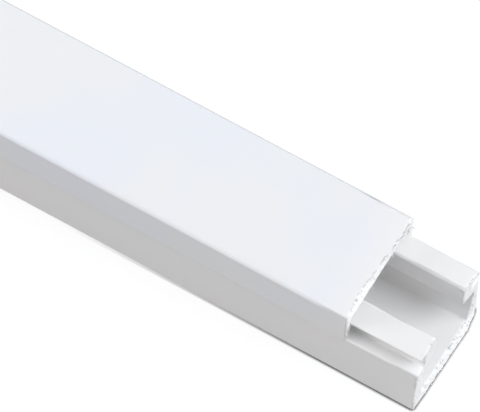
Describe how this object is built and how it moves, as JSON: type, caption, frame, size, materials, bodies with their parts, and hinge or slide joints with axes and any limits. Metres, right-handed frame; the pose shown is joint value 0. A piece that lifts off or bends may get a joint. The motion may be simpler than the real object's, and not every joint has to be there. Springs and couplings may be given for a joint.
{
  "type": "cord cover raceway",
  "caption": "Straight U-shaped cable channel with a flat clip-on cover that slides along it, for hiding cords along a wall.",
  "frame": {"origin": "middle of the base channel's underside, on the wall or floor that it lies on", "axes": "+X along the stock towards the end where the base stands out of the cover, +Y across it, +Z out of the wall through the cover"},
  "size_m": [0.4098, 0.0164, 0.016],
  "materials": {
    "base_pvc": "white rigid PVC, semi-matt as extruded, sawn ends",
    "cover_pvc": "white rigid PVC, semi-matt as extruded, sawn ends"
  },
  "bodies": {
    "base": {"base_channel": "base_pvc"},
    "cover": {"snap_cover": "cover_pvc"}
  },
  "joints": [
    {"name": "cover_slide", "type": "slide", "parent": "base", "child": "cover", "axis": [1, 0, 0], "range_m": [-0.395, 0.415]}
  ]
}
